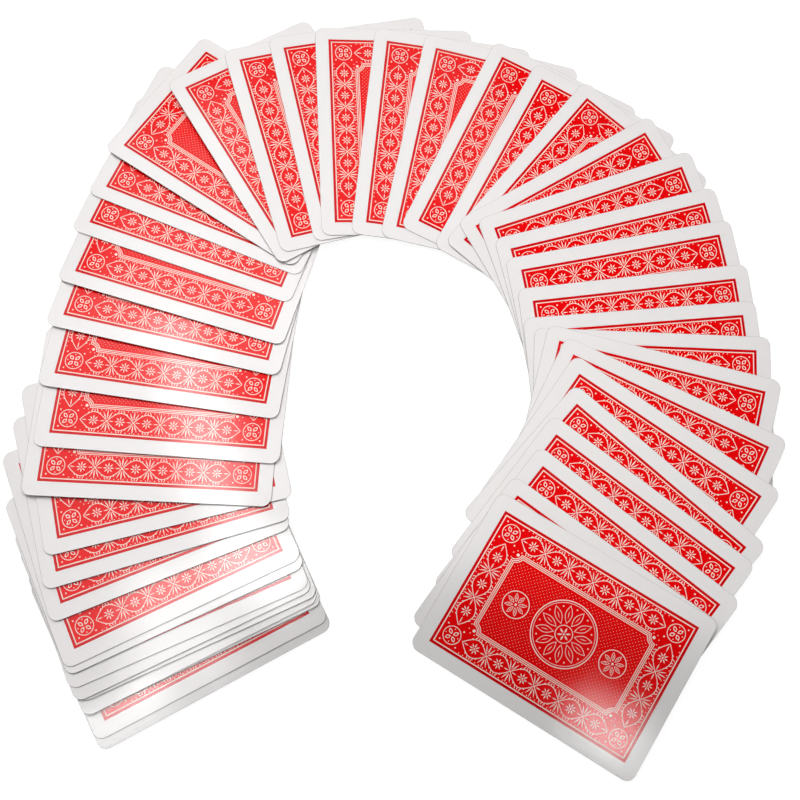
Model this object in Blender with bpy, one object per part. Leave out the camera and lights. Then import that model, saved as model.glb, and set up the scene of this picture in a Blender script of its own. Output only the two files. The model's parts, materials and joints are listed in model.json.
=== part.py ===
"""A deck of playing cards spread face down on a table, in a horseshoe.

Each card is a separate rounded plate. The cards are laid in the order of the deck, bottom card first,
clockwise from the near left round to the near right. Each one rests on the cards that lie under it: its
leading long edge leans down to the table, and its trailing long edge lies on the card before it. Its length
stays level, so that a card can be drawn outward, along its own length, without lifting its neighbours.
"""

import math

import bmesh
import bpy
from mathutils import Vector

# Sizes of one card, in metres
CARD_LENGTH = 0.088
CARD_WIDTH = 0.063
CARD_THICKNESS = 0.00027
CORNER_RADIUS = 0.0035
CORNER_STEPS = 5

# Sizes of the spread, in metres
ARCH_RADIUS = 0.096
AIR_GAP = 0.00003
DRAW_LENGTH = 0.070
OFFSET_UNIT = 0.001

# Length of the ribbon of cards along which its tilt can gain one degree, in metres
SLUMP_RUN = 0.020

# Direction of the horseshoe's open end, from the arch's centre
OPEN_END_DEG = 270.0

# Where the cards lie, from the bottom of the deck to its top: how many lie squared together, how far round
# the arch in degrees from its open end, how many offset units outside the arch, and the turn in degrees
LAID_CARDS = (
    (4, 39.0, 17.5, -20.0),
    (1, 40.5, 16.0, -19.0),
    (2, 44.0, 12.0, -17.5),
    (2, 44.5, 13.0, -16.0),
    (2, 46.0, 10.5, -16.5),
    (2, 47.0, 11.5, -14.5),
    (1, 48.5, 10.0, -15.0),
    (2, 51.5, 8.5, -10.5),
    (1, 53.0, 8.0, -8.5),
    (1, 60.5, 4.0, -4.5),
    (1, 64.5, -0.5, -6.0),
    (1, 70.0, -5.0, -3.0),
    (1, 76.0, -7.5, -13.5),
    (1, 86.5, -12.5, -4.5),
    (1, 99.5, -12.0, 4.5),
    (1, 112.0, -8.5, 12.5),
    (1, 121.0, -5.0, 17.5),
    (1, 131.0, 3.5, 25.0),
    (1, 138.0, 9.0, 29.0),
    (1, 143.5, 11.5, 23.5),
    (1, 153.5, 6.5, 8.5),
    (1, 161.5, 3.5, 1.5),
    (1, 170.5, 4.5, 7.0),
    (1, 177.0, 2.0, 3.0),
    (1, 187.5, 0.0, 5.0),
    (1, 197.0, -0.5, 8.5),
    (1, 207.0, 0.0, 4.5),
    (1, 217.0, 0.0, 12.0),
    (1, 224.0, -0.5, 7.5),
    (1, 231.5, -2.5, -5.0),
    (1, 238.5, -3.0, -9.0),
    (1, 246.5, -3.5, -6.0),
    (1, 253.5, -4.0, -2.5),
    (1, 263.0, -3.5, 3.0),
    (1, 271.0, -2.5, 9.0),
    (1, 276.5, -1.0, 7.5),
    (1, 281.0, -2.0, 0.0),
    (1, 288.0, -1.5, -5.0),
    (1, 295.0, -1.5, -7.0),
    (1, 303.5, 0.0, -5.0),
    (1, 310.0, 3.0, 5.5),
    (1, 317.0, 7.5, 11.5),
    (1, 323.5, 11.0, 20.5),
    (1, 325.0, 14.0, 27.0),
)

# The coated stock of the cards
STOCK_COLOUR = (0.86, 0.05, 0.04, 1.0)
STOCK_ROUGHNESS = 0.35

# Below this distance a support counts as lying right at a card's leading edge
EDGE_TOLERANCE = 1e-7


class Place:
    """A card's place: its rectangle seen from above, and how high and how steeply it lies."""

    def __init__(self, bearing, outside, turn):
        direction = math.radians(OPEN_END_DEG - bearing)
        radius = ARCH_RADIUS + outside * OFFSET_UNIT
        self.middle = Vector((math.cos(direction), math.sin(direction))) * radius
        self.heading = direction + math.radians(turn)
        self.outward = Vector((math.cos(self.heading), math.sin(self.heading)))
        self.leading = Vector((self.outward.y, -self.outward.x))
        self.height = CARD_THICKNESS / 2
        self.slope = 0.0

    def across(self, point):
        """How far a point lies from the card's middle line, towards its leading edge."""
        return (point - self.middle).dot(self.leading)

    def height_at(self, point):
        """Height of the card's middle plane over a point of the table."""
        return self.height - self.slope * self.across(point)

    def swept_outline(self):
        """Corners of the area that the card covers between its place and the end of its draw."""
        inner = -CARD_LENGTH / 2
        outer = CARD_LENGTH / 2 + DRAW_LENGTH
        half = CARD_WIDTH / 2
        ways = ((inner, half), (outer, half), (outer, -half), (inner, -half))
        return [self.middle + self.outward * along + self.leading * across for along, across in ways]


def clip_outline(outline, cutter):
    """The part of one convex outline that lies inside another, both listed the same way round."""
    for start, end in zip(cutter, cutter[1:] + cutter[:1]):
        edge = end - start
        inside = [edge.cross(point - start) >= 0 for point in outline]
        kept = []
        for index, point in enumerate(outline):
            before = outline[index - 1]
            if inside[index] != inside[index - 1]:
                share = edge.cross(start - before) / edge.cross(point - before)
                kept.append(before.lerp(point, share))
            if inside[index]:
                kept.append(point)
        outline = kept
    return outline


def supports_of(place, lower_places):
    """Points that hold a card up, as (distance across the card, least height of its middle plane)."""
    half = CARD_WIDTH / 2
    on_table = CARD_THICKNESS / 2
    on_card = CARD_THICKNESS + AIR_GAP
    supports = [(half, on_table), (-half, on_table)]
    outline = place.swept_outline()
    for lower in lower_places:
        for point in clip_outline(outline, lower.swept_outline()):
            supports.append((place.across(point), lower.height_at(point) + on_card))
    return supports


def settle(place, lower_places):
    """Lets a card down onto the cards before it, with its leading edge as near the table as it can lean."""
    supports = supports_of(place, lower_places)
    needed_slope = 0.0
    for across, height in supports:
        reach = max(CARD_WIDTH / 2 - across, EDGE_TOLERANCE)
        needed_slope = max(needed_slope, (height - CARD_THICKNESS / 2) / reach)
    if lower_places:
        before = lower_places[-1]
        step = (place.middle - before.middle).length
        place.slope = min(needed_slope, before.slope + math.radians(step / SLUMP_RUN))
    place.height = max(height + place.slope * across for across, height in supports)


def lay_cards():
    """The places of all cards, bottom card first."""
    places = []
    for count, bearing, outside, turn in LAID_CARDS:
        for _ in range(count):
            place = Place(bearing, outside, turn)
            settle(place, places)
            places.append(place)
    return places


def card_mesh(name):
    """A plate with round corners, lying flat, with its length along X."""
    work = bmesh.new()
    bmesh.ops.create_cube(work, size=1.0)
    bmesh.ops.scale(work, vec=(CARD_LENGTH, CARD_WIDTH, CARD_THICKNESS), verts=work.verts)
    uprights = [edge for edge in work.edges if edge.verts[0].co.xy == edge.verts[1].co.xy]
    bmesh.ops.bevel(
        work,
        geom=uprights,
        offset=CORNER_RADIUS,
        offset_type="OFFSET",
        segments=CORNER_STEPS,
        profile=0.5,
        affect="EDGES",
    )
    mesh = bpy.data.meshes.new(name)
    work.to_mesh(mesh)
    work.free()
    return mesh


def card_material(name):
    """Coated card stock."""
    material = bpy.data.materials.new(name)
    material.use_nodes = True
    shader = material.node_tree.nodes["Principled BSDF"]
    shader.inputs["Base Color"].default_value = STOCK_COLOUR
    shader.inputs["Roughness"].default_value = STOCK_ROUGHNESS
    shader.inputs["Metallic"].default_value = 0.0
    return material


def make_card(number, place, spread):
    """One card at its place in the spread. Its own X axis is the line along which it is drawn."""
    name = f"card_{number:02d}"
    card = bpy.data.objects.new(name, card_mesh(name))
    card.data.materials.append(card_material(f"{name}_stock"))
    card.location = (place.middle.x, place.middle.y, place.height)
    card.rotation_euler = (math.atan(place.slope), 0.0, place.heading)
    card.parent = spread
    bpy.context.collection.objects.link(card)
    return card


def centre_on_origin(spread, cards):
    """Moves the arch's centre so that the middle of the whole outline lies over the origin."""
    bpy.context.view_layer.update()
    points = [card.matrix_world @ vertex.co for card in cards for vertex in card.data.vertices]
    for axis in (0, 1):
        ends = [point[axis] for point in points]
        spread.location[axis] = -(min(ends) + max(ends)) / 2


def main():
    for old in list(bpy.data.objects):
        bpy.data.objects.remove(old)
    spread = bpy.data.objects.new("arch_centre", None)
    bpy.context.collection.objects.link(spread)
    cards = []
    for number, place in enumerate(lay_cards(), start=1):
        cards.append(make_card(number, place, spread))
    centre_on_origin(spread, cards)


main()
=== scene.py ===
# %% [markdown]
# # A deck of cards, spread face down
#
# The object is a full deck of 52 playing cards that someone has spread by hand in a horseshoe, backs up. Each
# card is a piece of its own, which can be drawn out of the spread along its length. A imported model already
# says where every card lies and how it slides, so this lesson only gives the cards their looks: die-cut
# corners, a softened rim, printed backs and faces, and the gloss of coated stock.
#
# The imported model comes first, because everything else is measured from it. Its box is kept.

# %% Load the imported deck
import cmath
import json
import math

import bmesh
import bpy
import numpy as np
from mathutils import Matrix, Vector
from mathutils.geometry import delaunay_2d_cdt

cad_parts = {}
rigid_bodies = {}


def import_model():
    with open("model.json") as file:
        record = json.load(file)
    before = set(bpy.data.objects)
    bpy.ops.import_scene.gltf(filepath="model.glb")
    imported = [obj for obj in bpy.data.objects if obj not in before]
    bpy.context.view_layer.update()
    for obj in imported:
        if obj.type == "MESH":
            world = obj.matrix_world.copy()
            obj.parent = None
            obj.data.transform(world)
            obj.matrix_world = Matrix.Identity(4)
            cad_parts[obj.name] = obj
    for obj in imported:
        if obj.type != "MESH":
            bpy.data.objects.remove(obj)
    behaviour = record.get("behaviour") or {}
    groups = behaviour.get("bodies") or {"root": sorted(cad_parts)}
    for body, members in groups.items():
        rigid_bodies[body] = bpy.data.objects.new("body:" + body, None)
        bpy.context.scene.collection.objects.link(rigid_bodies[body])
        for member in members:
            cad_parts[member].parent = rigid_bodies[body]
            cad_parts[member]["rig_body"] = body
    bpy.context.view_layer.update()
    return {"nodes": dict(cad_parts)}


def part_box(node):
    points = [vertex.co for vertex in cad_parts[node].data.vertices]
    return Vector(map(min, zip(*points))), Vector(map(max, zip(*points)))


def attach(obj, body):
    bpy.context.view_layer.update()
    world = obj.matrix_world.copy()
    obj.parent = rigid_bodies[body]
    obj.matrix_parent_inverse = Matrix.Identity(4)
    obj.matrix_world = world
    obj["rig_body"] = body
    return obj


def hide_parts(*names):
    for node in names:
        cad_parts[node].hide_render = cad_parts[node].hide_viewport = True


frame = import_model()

MM = 0.001
card_names = sorted(frame["nodes"])

# %% [markdown]
# ## The camera
#
# The photograph looks down at the table from just in front of the spread. A camera could be turned by eye
# until the picture fits, but here the printed corners of 35 cards were matched instead, which gives the focal
# length, the point on the table that lies in the middle of the picture, and the two turns. The matrix below
# reads from last to first: roll the camera, raise it over the table, lean it back from the vertical, and move
# it to look at the aim point.

# %% Camera at the photograph's viewing angle
PICTURE_WIDTH_PX = 800
FOCAL_LENGTH_PX = 879.0
SENSOR_WIDTH_MM = 36.0
AIM_POINT = Vector((0.22, -15.67, 0.0)) * MM
CAMERA_DISTANCE = 325.8 * MM
CAMERA_LEAN = math.radians(11.82)
CAMERA_ROLL = math.radians(3.31)
NEAR_CLIP = 0.01

bpy.ops.object.select_all(action="DESELECT")
bpy.ops.object.camera_add()
camera = bpy.context.object
camera.name = "photo_camera"
camera.data.sensor_width = SENSOR_WIDTH_MM
camera.data.lens = SENSOR_WIDTH_MM * FOCAL_LENGTH_PX / PICTURE_WIDTH_PX
camera.matrix_world = (
    Matrix.Translation(AIM_POINT)
    @ Matrix.Rotation(CAMERA_LEAN, 4, "X")
    @ Matrix.Translation((0.0, 0.0, CAMERA_DISTANCE))
    @ Matrix.Rotation(CAMERA_ROLL, 4, "Z")
)
camera.data.clip_start = NEAR_CLIP
bpy.context.scene.camera = camera
bpy.context.scene.view_settings.view_transform = "Standard"
print(f"lens of {camera.data.lens:.1f} mm, {camera.location.z / MM:.0f} mm above the table")

# %% [markdown]
# ## The table
#
# The deck lies on something plain and white that runs out of the picture. A diffuse white plane alone would
# come out light grey. Where the camera or a mirrored ray meets the table, most of its white is therefore
# light of its own, and a smaller share is a diffuse surface that still lets the cards' shadow show. All other
# rays meet a plain diffuse table.

# %% White table
TABLE_SIZE = 8.0
TABLE_GAP = 0.0001
TABLE_WHITE = 0.80
SHADOW_SHARE = 0.13
TABLE_LIFT = 0.93


def grey(level):
    """A colour without hue, as a colour socket takes it."""
    return (level, level, level, 1.0)


def new_nodes(tree, *kinds):
    """Empties a node tree and adds one node of each kind."""
    tree.nodes.clear()
    return [tree.nodes.new(kind) for kind in kinds]


def math_node(tree, operation, *values):
    """Output of a Math node, whose inputs are numbers or the outputs of other nodes."""
    node = tree.nodes.new("ShaderNodeMath")
    node.operation = operation
    for socket, value in zip(node.inputs, values):
        if isinstance(value, bpy.types.NodeSocket):
            tree.links.new(value, socket)
        else:
            socket.default_value = value
    return node.outputs[0]


def white_table():
    """Diffuse white, which to the camera and in reflections is mostly light of its own."""
    material = bpy.data.materials.new("white_table")
    material.use_nodes = True
    tree = material.node_tree
    output, mix, add, diffuse, shaded, light, path = new_nodes(
        tree,
        "ShaderNodeOutputMaterial",
        "ShaderNodeMixShader",
        "ShaderNodeAddShader",
        "ShaderNodeBsdfDiffuse",
        "ShaderNodeBsdfDiffuse",
        "ShaderNodeEmission",
        "ShaderNodeLightPath",
    )
    diffuse.inputs["Color"].default_value = grey(TABLE_WHITE)
    shaded.inputs["Color"].default_value = grey(SHADOW_SHARE)
    light.inputs["Strength"].default_value = TABLE_LIFT
    seen = math_node(tree, "MAXIMUM", path.outputs["Is Camera Ray"], path.outputs["Is Glossy Ray"])
    tree.links.new(shaded.outputs[0], add.inputs[0])
    tree.links.new(light.outputs[0], add.inputs[1])
    tree.links.new(seen, mix.inputs["Fac"])
    tree.links.new(diffuse.outputs[0], mix.inputs[1])
    tree.links.new(add.outputs[0], mix.inputs[2])
    tree.links.new(mix.outputs[0], output.inputs["Surface"])
    return material


bpy.ops.object.select_all(action="DESELECT")
bpy.ops.mesh.primitive_plane_add(size=TABLE_SIZE, location=(0.0, 0.0, -TABLE_GAP))
table = bpy.context.object
table.name = "table"
table.data.materials.append(white_table())
print(f"white table, {TABLE_SIZE:.0f} m wide")

# %% [markdown]
# ## The room's light
#
# Coated cards mirror whatever is above them. In the photograph most cards show their full red, so the ceiling
# over them must be dim. The world is made that way: brighter near the horizon, dim overhead. A Map Range node
# fades one into the other along the height of the direction, and more of the light comes from the far left.
# It only fills the shadows, and the lamps of the next steps do the rest. For the camera itself the world is
# white, so that other views have a white background.

# %% World that is bright all round and dim overhead
ROUND_LIGHT = 0.36
OVERHEAD_LIGHT = 0.03
FADE_FROM_HEIGHT = 0.50
FADE_TO_HEIGHT = 0.78
BRIGHT_SIDE = (-0.6, 0.6, 0.0)


def white_room():
    """World that is brighter near the horizon and on one side, and plain white to the camera."""
    room = bpy.data.worlds.new("white_room")
    room.use_nodes = True
    tree = room.node_tree
    output, background, side, fade, height, direction, path = new_nodes(
        tree,
        "ShaderNodeOutputWorld",
        "ShaderNodeBackground",
        "ShaderNodeVectorMath",
        "ShaderNodeMapRange",
        "ShaderNodeSeparateXYZ",
        "ShaderNodeTexCoord",
        "ShaderNodeLightPath",
    )
    background.inputs["Color"].default_value = grey(1.0)
    side.operation = "DOT_PRODUCT"
    side.inputs[1].default_value = BRIGHT_SIDE
    fade.interpolation_type = "SMOOTHSTEP"
    fade.inputs["From Min"].default_value = FADE_FROM_HEIGHT
    fade.inputs["From Max"].default_value = FADE_TO_HEIGHT
    fade.inputs["To Min"].default_value = ROUND_LIGHT
    fade.inputs["To Max"].default_value = OVERHEAD_LIGHT
    tree.links.new(direction.outputs["Generated"], height.inputs[0])
    tree.links.new(height.outputs["Z"], fade.inputs["Value"])
    tree.links.new(direction.outputs["Generated"], side.inputs[0])
    side_share = math_node(tree, "ADD", side.outputs["Value"], 1.0)
    sided = math_node(tree, "MULTIPLY", fade.outputs["Result"], side_share)
    brighter = math_node(tree, "MAXIMUM", sided, path.outputs["Is Camera Ray"])
    tree.links.new(brighter, background.inputs["Strength"])
    tree.links.new(background.outputs[0], output.inputs["Surface"])
    return room


bpy.context.scene.world = white_room()
print(f"room light of {ROUND_LIGHT} round the deck and {OVERHEAD_LIGHT} overhead")

# %% [markdown]
# ## Lamps that make the glare
#
# The white glare on the left cards and on the near corner of the top card is the mirror image of lamps. A
# lamp's place follows from its glare: go from the camera to the glare, turn the way about the card's normal,
# and walk up to the lamp's height. The left cards then ask for a long strip with a dim glow round it and four
# smaller lamps in front of it, and the top card asks for one more on the near right. Two wide dim lamps on
# the far side lay a slight haze on the cards at the top of the arch. Lamps that overlap hang at different
# heights, because at one height they hide each other. None of them lights a diffuse surface: the soft lamps
# of the next step do that.

# %% Strip, glow and small lamps
# Each row: name, place and size in metres, brightness, turn in degrees
GLARE_LAMPS = (
    ("left_strip_lamp", (-0.222, 0.155, 0.70), (0.055, 0.46), 9.0, 11.0),
    ("left_glow_lamp", (-0.310, 0.140, 0.73), (0.34, 0.66), 1.0, 11.0),
    ("far_left_glow_lamp", (-0.225, 0.500, 0.75), (0.30, 0.30), 1.1, 0.0),
    ("far_glow_lamp", (0.020, 0.520, 0.77), (0.36, 0.34), 0.5, 0.0),
    ("near_left_lamp", (-0.172, -0.022, 0.69), (0.075, 0.075), 4.5, 28.0),
    ("front_left_lamp", (-0.246, -0.120, 0.71), (0.115, 0.20), 5.7, 14.0),
    ("inner_left_lamp", (-0.124, -0.058, 0.68), (0.07, 0.11), 9.5, -20.0),
    ("low_left_lamp", (-0.280, -0.238, 0.67), (0.11, 0.07), 9.0, 30.0),
    ("near_right_lamp", (0.201, -0.329, 0.70), (0.085, 0.055), 11.0, -26.0),
)


def hung_lamp(name, place):
    """An area lamp over the table, which the camera itself doesn't see."""
    bpy.ops.object.select_all(action="DESELECT")
    bpy.ops.object.light_add(type="AREA", location=place)
    lamp = bpy.context.object
    lamp.name = name
    lamp.visible_camera = False
    return lamp


def glare_lamp(name, place, size, brightness, turn_degrees):
    """A rectangular lamp that hangs level and only shows as glare."""
    lamp = hung_lamp(name, place)
    lamp.data.shape = "RECTANGLE"
    lamp.data.size, lamp.data.size_y = size
    lamp.data.energy = brightness * math.pi * size[0] * size[1]
    lamp.rotation_euler.z = math.radians(turn_degrees)
    lamp.visible_diffuse = False
    print(f"{name}: {size[0]} by {size[1]} m, {lamp.data.energy:.1f} W")


for row in GLARE_LAMPS:
    glare_lamp(*row)

# %% [markdown]
# ## Lamps that light the cards
#
# Edges that face the far left show no shadow in the photograph, and those that face the other way show thin
# dark lines, so part of the light comes from the far left. The white borders also get greyer towards the
# outer ends of the cards and towards the viewer, as they do round a lamp that hangs low over the middle. So
# there are two square lamps, which both look at the middle of the table. They are hidden from glossy rays,
# since the lamps above already make all the glare.

# %% Window on the far left and lamp over the middle
# Each row: name, place and width in metres, brightness
SOFT_LAMPS = (
    ("window_lamp", (-0.20, 0.30, 0.70), 0.40, 7.3),
    ("middle_lamp", (0.015, 0.02, 0.35), 0.12, 12.9),
)


def soft_lamp(name, place, size, brightness):
    """A square lamp that faces the middle of the table and makes no glare."""
    way = Vector(place)
    lamp = hung_lamp(name, place)
    lamp.rotation_euler = way.to_track_quat("Z", "Y").to_euler()
    lamp.data.size = size
    lamp.data.energy = brightness * math.pi * size ** 2
    lamp.visible_glossy = False
    print(f"{name}: {size} m wide, {way.length:.2f} m away, {lamp.data.energy:.1f} W")


for row in SOFT_LAMPS:
    soft_lamp(*row)

# %% [markdown]
# ## A net that shades the near side
#
# In the photograph the whites turn greyer by a soft step from about the top card's middle towards the viewer,
# as where someone leans over a table. A photographer gets such a step with a net, a sheet of gauze held level
# under the lamps. Here it is one flat face with a Transparent BSDF, whose grey is the share of the light that
# passes. The lower it hangs, the narrower is the step. It is switched off for camera, diffuse, glossy and
# transmission rays, so it only dims the light on its way to the cards, and neither the camera nor a
# reflection shows it.

# %% Net over the near side
NET_SHARE = 0.63
NET_HEIGHT = 0.055
NET_CORNERS = (
    (-0.050, -0.044),
    (-0.058, -0.091),
    (-0.114, -0.125),
    (-0.114, -0.800),
    (0.800, -0.800),
    (0.800, -0.234),
)


def net_gauze():
    """Gauze that lets through the same share of every colour."""
    material = bpy.data.materials.new("net_gauze")
    material.use_nodes = True
    tree = material.node_tree
    output, gauze = new_nodes(tree, "ShaderNodeOutputMaterial", "ShaderNodeBsdfTransparent")
    gauze.inputs["Color"].default_value = grey(NET_SHARE)
    tree.links.new(gauze.outputs[0], output.inputs["Surface"])
    return material


net_mesh = bpy.data.meshes.new("near_side_net")
net_mesh.from_pydata([(x, y, NET_HEIGHT) for x, y in NET_CORNERS], [], [range(len(NET_CORNERS))])
net_mesh.materials.append(net_gauze())
net = bpy.data.objects.new("near_side_net", net_mesh)
bpy.context.collection.objects.link(net)
net.visible_camera = False
net.visible_diffuse = False
net.visible_glossy = False
net.visible_transmission = False
print(f"net over the near side, which lets {NET_SHARE:.0%} of the light through")

# %% [markdown]
# ## Where the cards lie
#
# A packed card is a plain plate that sits at the origin with its place in its mesh. Its place can be read
# back from its faces: the largest face that looks up gives the card's normal, and the largest wall gives the
# direction of its long side. Together with the middle of its box they make a matrix, which later carries a
# card that was made flat at the origin to its place in the spread.

# %% Places and size of the cards
# Cosine that tells faces that look the same way from faces that are square to each other
SAME_WAY = 0.5


def card_place(name):
    """Matrix that carries a flat card at the origin to its place, with X outward and Z out of its back."""
    faces = frame["nodes"][name].data.polygons
    back = max((face for face in faces if face.normal.z > SAME_WAY), key=lambda face: face.area)
    walls = [face for face in faces if abs(face.normal.dot(back.normal)) < SAME_WAY]
    long_wall = max(walls, key=lambda face: face.area)
    low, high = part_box(name)
    middle = (low + high) / 2
    outward = long_wall.normal.cross(back.normal).normalized()
    if outward.dot(middle) < 0:
        outward.negate()
    across = back.normal.cross(outward)
    axes = Matrix((outward, across, back.normal)).transposed().to_4x4()
    return Matrix.Translation(middle) @ axes


places = {name: card_place(name) for name in card_names}
bottom_card = card_names[0]
to_flat = places[bottom_card].inverted()
flat_points = np.array([to_flat @ vertex.co for vertex in frame["nodes"][bottom_card].data.vertices])
card_size = np.ptp(flat_points, axis=0) / MM
LENGTH, WIDTH, THICKNESS = (float(side) for side in card_size)
print(f"a card is {LENGTH:.1f} by {WIDTH:.1f} by {THICKNESS:.2f} mm")

# %% [markdown]
# ## Coated inks
#
# A playing card is printed paper under a clear coating that is rolled with a fine pattern of dimples, so that
# air gets between the cards and they slide. The dimples soften the outline of a glare. Ink lies under the
# coating and can't be felt, so all inks share one finish and differ in colour alone. Lines left white between
# the reds are a little warmer than bare stock, because some ink creeps into them. The dimples come from two
# crossed sine waves on the card's own plan, and a slower noise makes the sheet a little uneven. The two
# together drive the bump, and the noise alone makes the gloss uneven.

# %% Inks and coating
PLAN_MAP = "card_plan"
PLAN_UNIT_MM = 100.0
DIMPLE_PITCH_MM = 1.0
DIMPLE_DEPTH_MM = 0.003
UNEVEN_PITCH_MM = 10.0
UNEVEN_DEPTH_MM = 0.04
SMOOTHEST = 0.05
ROUGHEST = 0.11
INKS = {
    "white_stock": (0.80, 0.775, 0.768),
    "fine_white": (0.86, 0.74, 0.66),
    "field_red": (0.80, 0.001, 0.002),
    "border_red": (0.61, 0.001, 0.005),
    "pip_red": (0.70, 0.010, 0.015),
    "pip_black": (0.012, 0.012, 0.014),
}


def dimples_on(tree, plan):
    """Height of the dimples, from -1 to 1, as the product of a sine wave along the card and one across it."""
    axes = tree.nodes.new("ShaderNodeSeparateXYZ")
    tree.links.new(plan, axes.inputs[0])
    waves = []
    for axis in ("X", "Y"):
        angle = math_node(tree, "MULTIPLY", axes.outputs[axis], math.tau * PLAN_UNIT_MM / DIMPLE_PITCH_MM)
        waves.append(math_node(tree, "SINE", angle))
    return math_node(tree, "MULTIPLY", *waves)


def coated_ink(name, colour):
    """Ink or bare stock under the card's dimpled clear coating."""
    material = bpy.data.materials.new(name)
    material.use_nodes = True
    tree = material.node_tree
    shader = tree.nodes["Principled BSDF"]
    shader.inputs["Base Color"].default_value = (*colour, 1.0)
    plan = tree.nodes.new("ShaderNodeUVMap")
    plan.uv_map = PLAN_MAP
    uneven = tree.nodes.new("ShaderNodeTexNoise")
    uneven.inputs["Scale"].default_value = PLAN_UNIT_MM / UNEVEN_PITCH_MM
    tree.links.new(plan.outputs["UV"], uneven.inputs["Vector"])
    dimples = dimples_on(tree, plan.outputs["UV"])
    dimple_share = DIMPLE_DEPTH_MM / UNEVEN_DEPTH_MM
    relief = math_node(tree, "MULTIPLY_ADD", dimples, dimple_share, uneven.outputs["Fac"])
    bump = tree.nodes.new("ShaderNodeBump")
    bump.inputs["Distance"].default_value = UNEVEN_DEPTH_MM * MM
    tree.links.new(relief, bump.inputs["Height"])
    tree.links.new(bump.outputs["Normal"], shader.inputs["Normal"])
    gloss = tree.nodes.new("ShaderNodeMapRange")
    gloss.inputs["To Min"].default_value = SMOOTHEST
    gloss.inputs["To Max"].default_value = ROUGHEST
    tree.links.new(uneven.outputs["Fac"], gloss.inputs["Value"])
    tree.links.new(gloss.outputs["Result"], shader.inputs["Roughness"])
    return material


ink_materials = {name: coated_ink(name, colour) for name, colour in INKS.items()}
print(f"{len(ink_materials)} inks under one coating")

# %% [markdown]
# ## The cut edge
#
# Card stock is two plies of paper, glued with a dark paste that keeps the faces from showing through. Along
# the die-cut edge the plies are matt and fibrous, with the paste as a dark line between them. The plies are
# given a grey far darker than the white stock, partly the bare fibres and partly painted shade: it stands for
# the thin dark shadow lines along the cards' edges. The edge needs only two more materials, for the plies and
# the paste, with a fine noise for the fibres.

# %% Materials of the cut edge
PAPER_ROUGHNESS = 0.8
FIBRES_PER_METRE = 9000.0
# Each row: the two colours between which the fibres vary
CUT_EDGES = {
    # The ply's greys are partly painted shade, far darker than the white stock, for the dark lines along the
    # edges
    "cut_ply": ((0.36, 0.35, 0.34), (0.22, 0.21, 0.20)),
    "cut_paste": ((0.10, 0.10, 0.12), (0.05, 0.05, 0.06)),
}


def cut_edge(name, colour, fibre_colour):
    """Bare paper, cut across its fibres."""
    material = bpy.data.materials.new(name)
    material.use_nodes = True
    tree = material.node_tree
    shader = tree.nodes["Principled BSDF"]
    shader.inputs["Roughness"].default_value = PAPER_ROUGHNESS
    place = tree.nodes.new("ShaderNodeTexCoord")
    fibres = tree.nodes.new("ShaderNodeTexNoise")
    fibres.inputs["Scale"].default_value = FIBRES_PER_METRE
    mix = tree.nodes.new("ShaderNodeMix")
    mix.data_type = "RGBA"
    mix.inputs["A"].default_value = (*colour, 1.0)
    mix.inputs["B"].default_value = (*fibre_colour, 1.0)
    tree.links.new(place.outputs["Object"], fibres.inputs["Vector"])
    tree.links.new(fibres.outputs["Fac"], mix.inputs["Factor"])
    tree.links.new(mix.outputs["Result"], shader.inputs["Base Color"])
    return material


for name, colours in CUT_EDGES.items():
    ink_materials[name] = cut_edge(name, *colours)
ink_order = list(ink_materials)
print("edge materials:", ", ".join(CUT_EDGES))

# %% [markdown]
# ## The rim of a card
#
# A card is punched out of a printed sheet, which leaves round corners and an edge that is pressed slightly
# round. By hand this is a cube, scaled to the card, with its four upright edges bevelled to the corner radius
# and then its two outlines bevelled again, very finely. Two bisect cuts mark the paste between the plies. The
# large faces are deleted, because the printed sheets take their place. Bevel and bisect list their faces in
# another order each time they run, so the faces are sorted in the end, and the mesh is the same every time.
# Everything is drawn in millimetres and shrunk to metres when a card is laid, since bisect takes anything
# under a ten-thousandth for nothing, and the soft edge of a card is finer than that in metres.

# %% Rim with round corners, soft edges and two plies
CORNER_RADIUS = 3.5
CORNER_STEPS = 12
SOFT_EDGE = 0.09
SOFT_STEPS = 3
SMOOTH_ANGLE = math.radians(30)
PASTE_HALF = 0.03
TINY = 0.001
# Height of a normal over which a face counts as level
LEVEL = 0.999


def corner_sum(face):
    """Sum of the squares of a face's corner numbers, which is another one for each face of the rim."""
    return sum(vertex.index ** 2 for vertex in face.verts)


bpy.ops.object.select_all(action="DESELECT")
bpy.ops.mesh.primitive_cube_add(size=1.0)
rim = bpy.context.object
rim.name = "card_rim"
rim.scale = (LENGTH, WIDTH, THICKNESS)
bpy.ops.object.transform_apply(location=False, rotation=False, scale=True)
bpy.ops.object.mode_set(mode="EDIT")
bpy.ops.mesh.select_mode(type="EDGE")
work = bmesh.from_edit_mesh(rim.data)
bpy.ops.mesh.select_all(action="DESELECT")
for edge in work.edges:
    edge.select_set(abs(edge.verts[0].co.z - edge.verts[1].co.z) > TINY)
bpy.ops.mesh.bevel(offset=CORNER_RADIUS, segments=CORNER_STEPS, affect="EDGES")
bpy.ops.mesh.select_all(action="DESELECT")
for edge in work.edges:
    edge.select_set(abs(edge.verts[0].co.z - edge.verts[1].co.z) < TINY)
bpy.ops.mesh.bevel(offset=SOFT_EDGE, segments=SOFT_STEPS, affect="EDGES")
for height in (PASTE_HALF, -PASTE_HALF):
    bpy.ops.mesh.select_all(action="SELECT")
    bpy.ops.mesh.bisect(plane_co=(0.0, 0.0, height), plane_no=(0.0, 0.0, 1.0))
bpy.ops.mesh.select_mode(type="FACE")
bpy.ops.mesh.select_all(action="DESELECT")
for face in work.faces:
    face.select_set(abs(face.normal.z) > LEVEL)
bpy.ops.mesh.delete(type="ONLY_FACE")
work.verts.index_update()
work.faces.sort(key=corner_sum)
bpy.ops.object.mode_set(mode="OBJECT")
bpy.ops.object.shade_smooth_by_angle(angle=SMOOTH_ANGLE)
print(f"rim of {len(rim.data.polygons)} faces")
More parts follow.
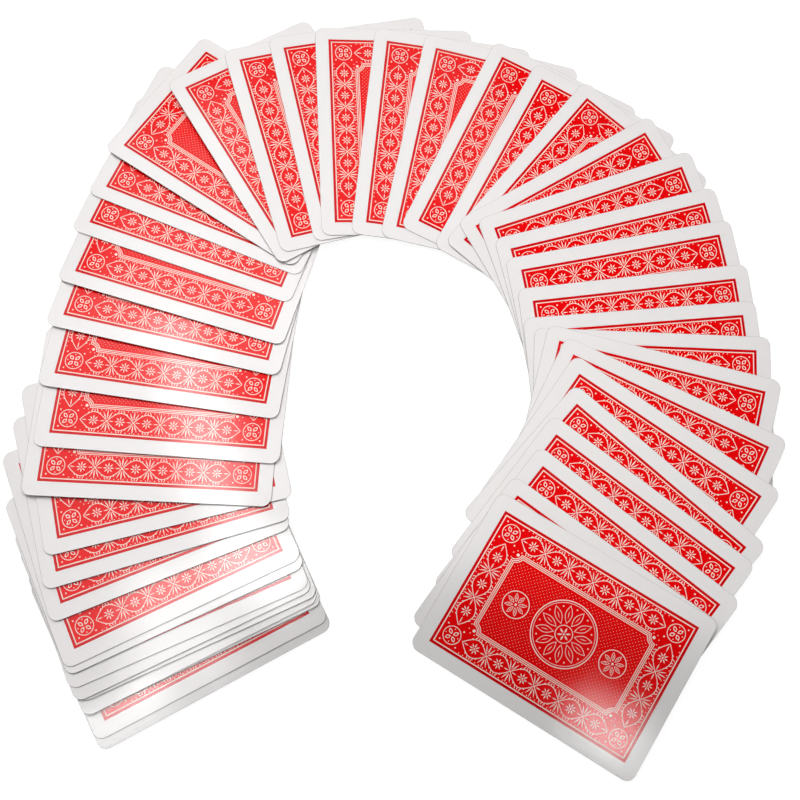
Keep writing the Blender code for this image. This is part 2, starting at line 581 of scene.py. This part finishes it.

# %% [markdown]
# ## Materials on the rim
#
# The whole rim, with the soft strips along its outlines, is the grey ply, apart from the strip between the
# bisect cuts, which is paste. So a fine grey outline runs round each card, which is painted shade for the
# dark line along a card's edge. Each face tells what it is by the height of its middle. The rim's upper
# outline is kept, because a printed sheet has to end on the same points.

# %% Ply and paste
for material in ink_materials.values():
    rim.data.materials.append(material)
for face in rim.data.polygons:
    # Faces outside the paste take the ply's grey, which paints the shade along each card's edge
    cut = "cut_paste" if abs(face.center.z) < PASTE_HALF else "cut_ply"
    face.material_index = ink_order.index(cut)
sheet_outline = sorted(
    (complex(*vertex.co.xy) for vertex in rim.data.vertices if abs(vertex.co.z - THICKNESS / 2) < TINY),
    key=cmath.phase,
)
print(f"a printed sheet has {len(sheet_outline)} corners")

# %% [markdown]
# ## Drawing in ink
#
# The back is a drawing of flat shapes, in which a later shape covers an earlier one, as in cut paper. A point
# of the drawing is one complex number of millimetres from the card's middle: the real part runs along the
# card and the imaginary part across it. Adding moves a shape, and multiplying by a number of length one turns
# it, so a flower is one petal in a loop. Every shape runs counter-clockwise, as the tool that later cuts the
# sheet expects.

# %% Shapes to draw with
def turn(degrees):
    """A number that turns a point about the card's middle when multiplied with it."""
    return cmath.rect(1.0, math.radians(degrees))


def disc(middle, radius, sides):
    """A round dot."""
    return [middle + radius * turn(360 * step / sides) for step in range(sides)]


def oblong(half_length, half_width):
    """A rectangle round the card's middle."""
    corner = complex(half_length, half_width)
    return [-corner, corner.conjugate(), corner, -corner.conjugate()]


def leaf(base, tip, width, steps=6):
    """A leaf that is pointed at both ends and widest in the middle."""
    line = tip - base
    side = 1j * line / abs(line) * width / 2
    swell = [math.sin(math.pi * step / steps) for step in range(steps + 1)]
    right = [base + line * step / steps - side * swell[step] for step in range(steps)]
    left = [base + line * step / steps + side * swell[step] for step in range(steps, 0, -1)]
    return right + left


def stroke(path, width):
    """A line of ink along a path."""
    right = []
    left = []
    last = len(path) - 1
    for step, point in enumerate(path):
        way = path[min(step + 1, last)] - path[max(step - 1, 0)]
        side = 1j * way / abs(way) * width / 2
        right.append(point - side)
        left.append(point + side)
    return right + left[::-1]


print("shapes: disc, oblong, leaf, stroke")

# %% [markdown]
# ## The printed frame
#
# A red back with a white border is as old as printed decks: a solid line in deep red, a thin white line, and
# then the bright red field that carries the ornament.

# %% Border and field
BORDER = 5.15
OUTER_LINE = 1.0
WHITE_LINE = 0.38
back_drawing = []


def print_shapes(drawing, ink, *shapes):
    """Adds shapes of one ink on top of a drawing."""
    drawing += [(shape, ink) for shape in shapes]


inset = BORDER
for ink, line in (("border_red", OUTER_LINE), ("fine_white", WHITE_LINE), ("field_red", 0.0)):
    print_shapes(back_drawing, ink, oblong(LENGTH / 2 - inset, WIDTH / 2 - inset))
    inset += line
field_inset = inset
print(f"the red field starts {field_inset:.2f} mm from the card's edge")

# %% [markdown]
# ## Flowers and leaves
#
# Old printed borders are mostly leaf work. Here one leaf shape does for all of it: a flower is a ring of
# leaves round a dot, a sprig is three leaves out of one point, and leaflets sit in a row along a stem. A
# modeller could also draw each of them as a curve, but in a loop they all come out alike.

# %% Flower, sprig and leaflets
# Distance from a flower's middle to its petals, in radii of its heart
PETAL_START = 1.5
# Each row: lean in degrees, length and width
SPRIG_LEAVES = ((-25, 4.0, 0.34), (0, 4.3, 0.42), (25, 4.0, 0.34))
SPRIG_START = 0.7
STEM_STEPS = 16
LEAFLET_STEPS = (4, 6, 8, 10, 12)
LEAFLET_LENGTH = 1.0
LEAFLET_WIDTH = 0.32
# Lean that leaflets gain over a whole wave of the stem
LEAFLET_LEAN_DEG = 120


def flower(middle, reach, petals, width, heart):
    """A flower of leaf-shaped petals round a dot."""
    shapes = [disc(middle, heart, sides=8)]
    for petal in range(petals):
        way = turn(90 + 360 * petal / petals)
        shapes.append(leaf(middle + way * heart * PETAL_START, middle + way * reach, width))
    return shapes


def sprig(base, up):
    """Three leaves that grow out of one point."""
    shapes = []
    for lean, length, width in SPRIG_LEAVES:
        way = 1j * up * turn(lean)
        shapes.append(leaf(base + way * SPRIG_START, base + way * length, width))
    return shapes


def leaflets(stem, number, side):
    """Small leaves outside one wave of a stem, which lean towards the wave's middle like a wreath's."""
    shapes = []
    for step in LEAFLET_STEPS:
        base = stem[number * STEM_STEPS + step]
        lean = (step / STEM_STEPS - 0.5) * LEAFLET_LEAN_DEG
        way = 1j * side * turn(lean * side)
        shapes.append(leaf(base, base + way * LEAFLET_LENGTH, LEAFLET_WIDTH, steps=4))
    return shapes


print(f"a sprig has {len(SPRIG_LEAVES)} leaves, and a wave of a stem has {len(LEAFLET_STEPS)}")

# %% [markdown]
# ## The vine
#
# The band round the field is a plaited vine, a very old border ornament: two wavy stems cross and leave eyes
# between them. Each eye holds a flower and is fringed with leaflets, a sprig grows out of each crossing, and
# a row of beads runs along both edges of the band. One eye is drawn in a loop and repeated along a side. The
# drawing of a side is then moved and turned to all four sides of the card.

# %% Plaited vine along a side
BAND = 8.5
BAND_MARGIN = 0.2
LONG_SIDE_EYES = 6
SHORT_SIDE_EYES = 3
STEM_SWING = 3.2
STEM_WIDTH = 0.25
EYE_LEAF_START = 2.3
EYE_LEAF_GAP = 0.6
EYE_LEAF_WIDTH = 0.36
EYE_BEADS = 6
BEAD_LINE = 3.98
BEAD_RADIUS = 0.2


def plaited_vine(run, eyes):
    """The white shapes of a vine along the real axis, centred on zero."""
    eye = run / eyes
    start = -run / 2
    shapes = []
    for side in (-1, 1):
        stem = []
        for step in range(eyes * STEM_STEPS + 1):
            share = step / STEM_STEPS
            stem.append(complex(start + eye * share, side * STEM_SWING * math.sin(math.pi * share)))
        shapes.append(stroke(stem, STEM_WIDTH))
        for number in range(eyes):
            shapes += leaflets(stem, number, side if number % 2 == 0 else -side)
    for number in range(eyes):
        middle = complex(start + eye * (number + 0.5), 0.0)
        shapes += flower(middle, reach=1.95, petals=8, width=0.40, heart=0.30)
        for side in (-1, 1):
            tip = middle + side * (eye / 2 - EYE_LEAF_GAP)
            shapes.append(leaf(middle + side * EYE_LEAF_START, tip, EYE_LEAF_WIDTH))
        for bead in range(EYE_BEADS):
            place = complex(eye * ((bead + 0.5) / EYE_BEADS - 0.5), BEAD_LINE)
            for spot in (place, place.conjugate()):
                shapes.append(disc(middle + spot, BEAD_RADIUS, sides=6))
    for number in range(1, eyes):
        crossing = complex(start + eye * number, 0.0)
        shapes += sprig(crossing, 1) + sprig(crossing, -1)
    return shapes


band_middle = field_inset + BAND_MARGIN + BAND / 2
band_corner = field_inset + BAND_MARGIN + BAND
for run, eyes, reach, spin in ((LENGTH, LONG_SIDE_EYES, WIDTH, 1), (WIDTH, SHORT_SIDE_EYES, LENGTH, 1j)):
    vine = plaited_vine(run - 2 * band_corner, eyes)
    outward = 1j * (reach / 2 - band_middle)
    for way in (spin, -spin):
        for shape in vine:
            print_shapes(back_drawing, "fine_white", [(point + outward) * way for point in shape])
print(f"four vines, {len(back_drawing)} shapes so far")

# %% [markdown]
# ## The corners
#
# Where two vines meet, a square is left. It gets a ring with a quatrefoil, a flower of four petals with which
# stone masons and printers have long turned a corner. A ring is a white disc with a red one on it, and an
# outlined leaf is made the same way.

# %% Quatrefoils in the corners
RING_RADIUS = 3.3
RING_WIDTH = 0.26
FOIL_START = 0.4
FOIL_GAP = 0.7
FOIL_WIDTH = 1.3
FOIL_LINE = 0.28
OUTER_DOT_GAP = 1.1
OUTER_DOT_RADIUS = 0.3
INNER_BEAD_GAP = 0.95
# How much shorter the inner leaf of an outlined leaf is at each tip, in widths of the line
TIP_TRIM = 1.6


def mirrored(point):
    """A point and its mirror images in the card's two middle lines."""
    return point, -point, point.conjugate(), -point.conjugate()


def ring(drawing, middle, radius, width, sides):
    """A white ring with the field's red inside it."""
    print_shapes(drawing, "fine_white", disc(middle, radius, sides))
    print_shapes(drawing, "field_red", disc(middle, radius - width, sides))


def outlined_leaf(drawing, base, tip, width, line):
    """A white leaf with a red one on it, so that only its outline stays white."""
    trim = (tip - base) / abs(tip - base) * line * TIP_TRIM
    print_shapes(drawing, "fine_white", leaf(base, tip, width, steps=8))
    print_shapes(drawing, "field_red", leaf(base + trim, tip - trim, width - 2 * line, steps=8))


for middle in mirrored(complex(LENGTH / 2 - band_middle, WIDTH / 2 - band_middle)):
    ring(back_drawing, middle, RING_RADIUS, RING_WIDTH, sides=28)
    for quarter in range(4):
        way = turn(45 + 90 * quarter)
        foil_tip = middle + way * (RING_RADIUS - FOIL_GAP)
        outlined_leaf(back_drawing, middle + way * FOIL_START, foil_tip, FOIL_WIDTH, FOIL_LINE)
        dot = disc(middle + way * (RING_RADIUS + OUTER_DOT_GAP), OUTER_DOT_RADIUS, sides=8)
        bead = disc(middle + turn(90 * quarter) * (RING_RADIUS - INNER_BEAD_GAP), BEAD_RADIUS, sides=8)
        print_shapes(back_drawing, "fine_white", dot, bead)
print(f"{len(back_drawing)} shapes with the corners")

# %% [markdown]
# ## The inner frame
#
# Three thin white lines close the band. Their corners are cut in as quarter circles, like an old ticket's,
# with a dot in each hollow. The lines are the same outline, drawn smaller each time about the same corner
# points, so they stay parallel.

# %% Three lines with ticket corners
TICKET_RADIUS = 2.6
TICKET_STEPS = 8
FINE_LINES = 3
FINE_LINE = 0.28
FINE_GAP = 0.32
# Place of a hollow's dot, as a share of the way from the card's middle to the panel's corner
HOLLOW_DOT_SHARE = 0.95
HOLLOW_DOT_RADIUS = 0.55
panel_corner = complex(LENGTH / 2, WIDTH / 2) - (1 + 1j) * (band_corner + BAND_MARGIN)


def arc(middle, radius, start, end, steps):
    """A path along part of a circle, between two directions in degrees."""
    return [middle + radius * turn(start + (end - start) * step / steps) for step in range(steps + 1)]


def ticket(inset):
    """A rectangle whose corners are cut in round the panel's corner points, drawn smaller by an inset."""
    radius = TICKET_RADIUS + inset
    lean = math.degrees(math.asin(inset / radius))
    shape = []
    for quarter, sign in enumerate((1 + 1j, -1 + 1j, -1 - 1j, 1 - 1j)):
        point = complex(panel_corner.real * sign.real, panel_corner.imag * sign.imag)
        first = 270 - lean + 90 * quarter
        shape += arc(point, radius, first, first - 90 + 2 * lean, TICKET_STEPS)
    return shape


panel_inset = 0.0
for _ in range(FINE_LINES):
    print_shapes(back_drawing, "fine_white", ticket(panel_inset))
    print_shapes(back_drawing, "field_red", ticket(panel_inset + FINE_LINE))
    panel_inset += FINE_LINE + FINE_GAP
for middle in mirrored(panel_corner):
    print_shapes(back_drawing, "fine_white", disc(middle * HOLLOW_DOT_SHARE, HOLLOW_DOT_RADIUS, sides=10))
panel_half = panel_corner - (1 + 1j) * panel_inset
print(f"inner panel of {2 * panel_half.real:.1f} by {2 * panel_half.imag:.1f} mm")

# %% [markdown]
# ## The medallions
#
# The panel has a rosette in the middle and a smaller one on either side. A rosette is a ring of outlined
# petals with a vein in each, and the large one has a flower of its own in its middle.

# %% Rosettes
ROSETTE_RADIUS = 11.8
ROSETTE_PETALS = 12
INNER_RING_GAP = 0.85
PETAL_DOT_LINE = 9.6
PETAL_DOT_RADIUS = 0.28
SIDE_ROSETTE_RADIUS = 4.9
SIDE_PETAL_GAP = 0.8
SIDE_HEART_RADIUS = 0.45
# Share of a petal's length that is left free before and after its vein
VEIN_GAP_SHARE = 0.3
side_rosette_middle = (panel_half.real + ROSETTE_RADIUS) / 2


def rosette(drawing, middle, inner, outer, petals, width, line):
    """A ring of outlined petals with a vein in each."""
    gap = (outer - inner) * VEIN_GAP_SHARE
    for petal in range(petals):
        way = turn(360 * (petal + 0.5) / petals)
        outlined_leaf(drawing, middle + way * inner, middle + way * outer, width, line)
        vein = leaf(middle + way * (inner + gap), middle + way * (outer - gap), line)
        print_shapes(drawing, "fine_white", vein)


ring(back_drawing, 0, ROSETTE_RADIUS, width=0.34, sides=64)
ring(back_drawing, 0, ROSETTE_RADIUS - INNER_RING_GAP, width=0.18, sides=64)
rosette(back_drawing, 0, inner=3.6, outer=10.2, petals=ROSETTE_PETALS, width=2.6, line=0.22)
for petal in range(ROSETTE_PETALS):
    dot = disc(PETAL_DOT_LINE * turn(360 / ROSETTE_PETALS * petal), PETAL_DOT_RADIUS, sides=8)
    print_shapes(back_drawing, "fine_white", dot)
ring(back_drawing, 0, radius=3.2, width=0.26, sides=32)
print_shapes(back_drawing, "fine_white", *flower(0, reach=2.4, petals=6, width=0.6, heart=0.34))
for middle in (-side_rosette_middle, side_rosette_middle):
    ring(back_drawing, middle, SIDE_ROSETTE_RADIUS, width=0.30, sides=36)
    petal_end = SIDE_ROSETTE_RADIUS - SIDE_PETAL_GAP
    rosette(back_drawing, middle, inner=0.9, outer=petal_end, petals=8, width=1.25, line=0.20)
    print_shapes(back_drawing, "fine_white", disc(middle, SIDE_HEART_RADIUS, sides=10))
print(f"{len(back_drawing)} shapes with the rosettes")

# %% [markdown]
# ## Seeds on the panel
#
# What is left of the panel is powdered with small white seeds in staggered rows, a common filling for plain
# ground. A seed is drawn only where it stays clear of the frame and the rosettes.

# %% Staggered seeds
SEED_PITCH = 1.5
SEED_RADIUS = 0.13
SEED_ROOM = 0.45
seeds = 0
rows = int(panel_half.imag / SEED_PITCH * 2)
columns = int(panel_half.real / SEED_PITCH) + 1
for row in range(-rows, rows + 1):
    for column in range(-columns, columns + 1):
        seed = complex((column + 0.5 * (row % 2)) * SEED_PITCH, row * SEED_PITCH / 2)
        quarter = complex(abs(seed.real), abs(seed.imag))
        room = min(
            panel_half.real - quarter.real,
            panel_half.imag - quarter.imag,
            abs(seed) - ROSETTE_RADIUS,
            abs(quarter - side_rosette_middle) - SIDE_ROSETTE_RADIUS,
            abs(quarter - panel_corner) - TICKET_RADIUS - panel_inset,
        )
        if room > SEED_ROOM:
            print_shapes(back_drawing, "fine_white", disc(seed, SEED_RADIUS, sides=4))
            seeds += 1
print(f"{seeds} seeds, {len(back_drawing)} shapes in all")

# %% [markdown]
# ## Printing a sheet
#
# By hand, the outlines would be cut into a flat face with the knife, which needs a window. Blender's own
# two-dimensional triangulator does the same here: it cuts the sheet along every outline and says which shapes
# each triangle lies in. The last of those shapes gives the triangle its ink. The print is then part of the
# sheet's mesh and stays sharp however near the camera comes, with nothing lying loose on top.

# %% Sheet cut along its drawing
CUT_TOLERANCE = 1e-4
# The triangulator's number for keeping only what lies inside an outline
INSIDE_ONLY = 1


def printed_sheet(name, drawing):
    """A flat sheet in the card's outline, with an ink for each of its triangles."""
    points = []
    loops = []
    inks = []
    for shape, ink in [(sheet_outline, "white_stock"), *drawing]:
        loops.append(list(range(len(points), len(points) + len(shape))))
        points += [Vector((point.real, point.imag)) for point in shape]
        inks.append(ink)
    cut = delaunay_2d_cdt(points, [], loops, INSIDE_ONLY, CUT_TOLERANCE, True)
    cut_points, _, cut_triangles, _, _, shapes_round = cut
    mesh = bpy.data.meshes.new(name)
    mesh.from_pydata([(*point, THICKNESS / 2) for point in cut_points], [], cut_triangles)
    for material in ink_materials.values():
        mesh.materials.append(material)
    ink_numbers = [ink_order.index(inks[max(shapes)]) for shapes in shapes_round]
    mesh.polygons.foreach_set("material_index", ink_numbers)
    sheet = bpy.data.objects.new(name, mesh)
    bpy.context.collection.objects.link(sheet)
    return sheet


back_sheet = printed_sheet("back_sheet", back_drawing)
areas = dict.fromkeys(ink_order, 0.0)
for face in back_sheet.data.polygons:
    areas[ink_order[face.material_index]] += face.area
print(f"back of {len(back_sheet.data.polygons)} triangles")
print(", ".join(f"{ink} {area:.0f} mm2" for ink, area in areas.items() if area > 0.0))

# %% [markdown]
# ## Pips
#
# The cards lie face down, but a card that is lifted has a face, so each of them gets one: four suits of
# thirteen ranks, in the plain way of printed decks. A pip is one unit high and drawn upright. The heart is a
# well-known curve of sines and cosines. The spade is the same curve upside down and the club is three discs,
# and both stand on a foot.

# %% Pips of the four suits
HEART_STEPS = 28
HEART_MIDDLE = -2.5
HEART_HEIGHT = 30
DIAMOND = [-0.38, -0.5j, 0.38, 0.5j]
FOOT = [-0.2 - 0.5j, 0.2 - 0.5j, 0.04 + 0.1j, -0.04 + 0.1j]
SPADE_SIZE = 0.85
SPADE_LIFT = 0.06j
CLUB_LOBES = (0.25j, 0.26 - 0.12j, -0.26 - 0.12j)
LOBE_RADIUS = 0.24


def heart_curve():
    """A heart, about one unit high."""
    points = []
    for step in range(HEART_STEPS):
        angle = -math.tau * step / HEART_STEPS
        across = 16 * math.sin(angle) ** 3
        up = 13 * math.cos(angle) - 5 * math.cos(2 * angle) - 2 * math.cos(3 * angle) - math.cos(4 * angle)
        points.append(complex(across, up - HEART_MIDDLE) / HEART_HEIGHT)
    return points


spade_blade = [SPADE_LIFT - SPADE_SIZE * point for point in heart_curve()]
SUITS = {
    "heart": ("pip_red", [heart_curve()]),
    "diamond": ("pip_red", [DIAMOND]),
    "spade": ("pip_black", [FOOT, spade_blade]),
    "club": ("pip_black", [FOOT, *[disc(lobe, LOBE_RADIUS, sides=20) for lobe in CLUB_LOBES]]),
}
print(f"{len(SUITS)} suits")

# %% [markdown]
# ## Figures of the ranks
#
# Blender's own font gives plain figures. A text object whose fill is off turns into a mesh of bare outlines,
# and the points of one outline follow each other, so an edge that jumps back closes it. The way round an
# outline tells a letter's body from the holes in it.

# %% Outlines of the figures
RANKS = ("A", "2", "3", "4", "5", "6", "7", "8", "9", "10", "J", "Q", "K")
FIGURE_STEPS = 3


def signed_area(shape):
    """Area of a shape, above zero where it runs counter-clockwise."""
    return sum((a.conjugate() * b).imag for a, b in zip(shape, shape[1:] + shape[:1])) / 2


def rank_figures(rank):
    """Bodies and holes of a rank's figures, about one unit high and centred on zero."""
    bpy.ops.object.select_all(action="DESELECT")
    bpy.ops.object.text_add()
    text = bpy.context.object.data
    text.body = rank
    text.align_x = "CENTER"
    text.align_y = "CENTER"
    text.fill_mode = "NONE"
    text.resolution_u = FIGURE_STEPS
    bpy.ops.object.convert(target="MESH")
    letters = bpy.context.object
    points = [complex(*vertex.co.xy) for vertex in letters.data.vertices]
    shapes = []
    for edge in letters.data.edges:
        first, last = sorted(edge.vertices)
        if last - first > 1:
            shapes.append(points[first:last + 1])
    bpy.data.objects.remove(letters)
    largest = max(shapes, key=lambda shape: abs(signed_area(shape)))
    way = 1 if signed_area(largest) > 0 else -1
    bodies = [shape[::way] for shape in shapes if signed_area(shape) * way > 0]
    holes = [shape[::-way] for shape in shapes if signed_area(shape) * way < 0]
    return bodies, holes


figures = {rank: rank_figures(rank) for rank in RANKS}
print(f"{len(figures)} ranks, {sum(len(bodies) for bodies, _ in figures.values())} outlines")

# %% [markdown]
# ## The faces
#
# A number card has its pips in one, two or three columns, and the lower half stands on its head. An ace has
# one large pip. A jack, queen or king has a framed panel with two large pips in place of a picture, and a row
# of small diamonds between them. Two corners carry the rank and a small pip. A face is drawn upright and then
# turned to lie along the card.

# %% Drawing of a face
COLUMN = 13.5
TOP_ROW = 29.0
PIP_SIZE = 11.5
ACE_SIZE = 24.0
COURTS = ("J", "Q", "K")
COURT_SIZE = 19.0
COURT_HALF = 19.5 + 32.0j
COURT_INSETS = (0.0, 0.3, 1.0, 1.8)
WAIST_STEPS = range(-3, 4)
WAIST_PITCH = 5
WAIST_SIZE = 3.5
CORNER_RANK = -26.0 + 37.0j
CORNER_RANK_SIZE = 8.0
CORNER_PIP = -26.0 + 30.5j
CORNER_PIP_SIZE = 4.6
# For each number of pips: rows of the two side columns, and heights in the middle column as shares of the top
SIDE_ROWS = {4: 2, 5: 2, 6: 3, 7: 3, 8: 3, 9: 4, 10: 4}
MIDDLE_ROWS = {2: (1, -1), 3: (1, 0, -1), 5: (0,), 7: (0.5,), 8: (0.5, -0.5), 9: (0,), 10: (0.67, -0.67)}


def pip_places(count):
    """Places of a number card's pips."""
    spots = [complex(0, TOP_ROW * row) for row in MIDDLE_ROWS.get(count, ())]
    side_rows = SIDE_ROWS.get(count, 0)
    for row in range(side_rows):
        up = TOP_ROW * (1 - 2 * row / (side_rows - 1))
        spots += [complex(-COLUMN, up), complex(COLUMN, up)]
    return spots


def stamp(drawing, ink, shapes, place, size):
    """Prints shapes at a place, upside down in the lower half."""
    way = size if place.imag >= 0 else -size
    print_shapes(drawing, ink, *[[place + way * point for point in shape] for shape in shapes])


def face_drawing(suit, rank):
    """The drawing of a face, lying along the card."""
    ink, pip = SUITS[suit]
    upright = []
    if rank == "A":
        stamp(upright, ink, pip, 0j, ACE_SIZE)
    elif rank in COURTS:
        for inset, frame_ink in zip(COURT_INSETS, (ink, "white_stock") * 2):
            print_shapes(upright, frame_ink, oblong(COURT_HALF.real - inset, COURT_HALF.imag - inset))
        for side in (1, -1):
            stamp(upright, ink, pip, complex(0, side * COURT_HALF.imag / 2), COURT_SIZE)
        for step in WAIST_STEPS:
            stamp(upright, ink, [DIAMOND], complex(step * WAIST_PITCH, 0), WAIST_SIZE)
    else:
        for place in pip_places(int(rank)):
            stamp(upright, ink, pip, place, PIP_SIZE)
    bodies, holes = figures[rank]
    for side in (1, -1):
        stamp(upright, ink, bodies, CORNER_RANK * side, CORNER_RANK_SIZE)
        stamp(upright, "white_stock", holes, CORNER_RANK * side, CORNER_RANK_SIZE)
        stamp(upright, ink, pip, CORNER_PIP * side, CORNER_PIP_SIZE)
    return [([point * -1j for point in shape], shape_ink) for shape, shape_ink in upright]


face_order = [(suit, rank) for suit in SUITS for rank in RANKS]
print(f"{len(face_order)} faces")

# %% [markdown]
# ## Laying the cards
#
# A card is its rim, its back and its face, joined and merged where their edges meet, so that it is one closed
# body. Its plan is stored as a UV map for the coating's dimples. Then the flat card is carried to its place,
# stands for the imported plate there, and rides on the plate's body. Stepping through the faces seven at a time
# mixes the deck, and each face still comes up once, because seven is prime and doesn't divide fifty-two.

# %% Cards in their places
SHUFFLE_STEP = 7


def copy_of(source):
    """A copy with its own mesh."""
    made = source.copy()
    made.data = source.data.copy()
    bpy.context.collection.objects.link(made)
    return made


def join_card(name, back, face):
    """One closed card out of its rim and its two printed sheets, lying flat at the origin."""
    bpy.ops.object.select_all(action="DESELECT")
    parts = [copy_of(rim), copy_of(back), copy_of(face)]
    parts[-1].data.transform(Matrix.Rotation(math.pi, 4, "X"))
    for part in parts:
        part.select_set(True)
    bpy.context.view_layer.objects.active = parts[0]
    bpy.ops.object.join()
    bpy.ops.object.mode_set(mode="EDIT")
    bpy.ops.mesh.select_all(action="SELECT")
    bpy.ops.mesh.remove_doubles(threshold=TINY)
    bpy.ops.object.mode_set(mode="OBJECT")
    card = bpy.context.object
    card.name = name
    plan = card.data.uv_layers.new(name=PLAN_MAP)
    points = np.zeros(len(card.data.vertices) * 3, np.float32)
    card.data.vertices.foreach_get("co", points)
    corners = np.zeros(len(card.data.loops), np.int32)
    card.data.loops.foreach_get("vertex_index", corners)
    plan.data.foreach_set("uv", (points.reshape(-1, 3)[corners, :2] / PLAN_UNIT_MM).ravel())
    return card


triangles = 0
for number, name in enumerate(card_names):
    suit, rank = face_order[number * SHUFFLE_STEP % len(face_order)]
    face_sheet = printed_sheet(name + "_face", face_drawing(suit, rank))
    card = join_card(name + "_printed", back_sheet, face_sheet)
    bpy.data.objects.remove(face_sheet)
    card.data.transform(places[name] @ Matrix.Scale(MM, 4))
    body = frame["nodes"][name]["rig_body"]
    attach(card, body)
    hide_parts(name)
    triangles += sum(len(face.vertices) - 2 for face in card.data.polygons)
for part in (rim, back_sheet):
    bpy.data.objects.remove(part)
print(f"{len(card_names)} cards of {triangles} triangles in all")
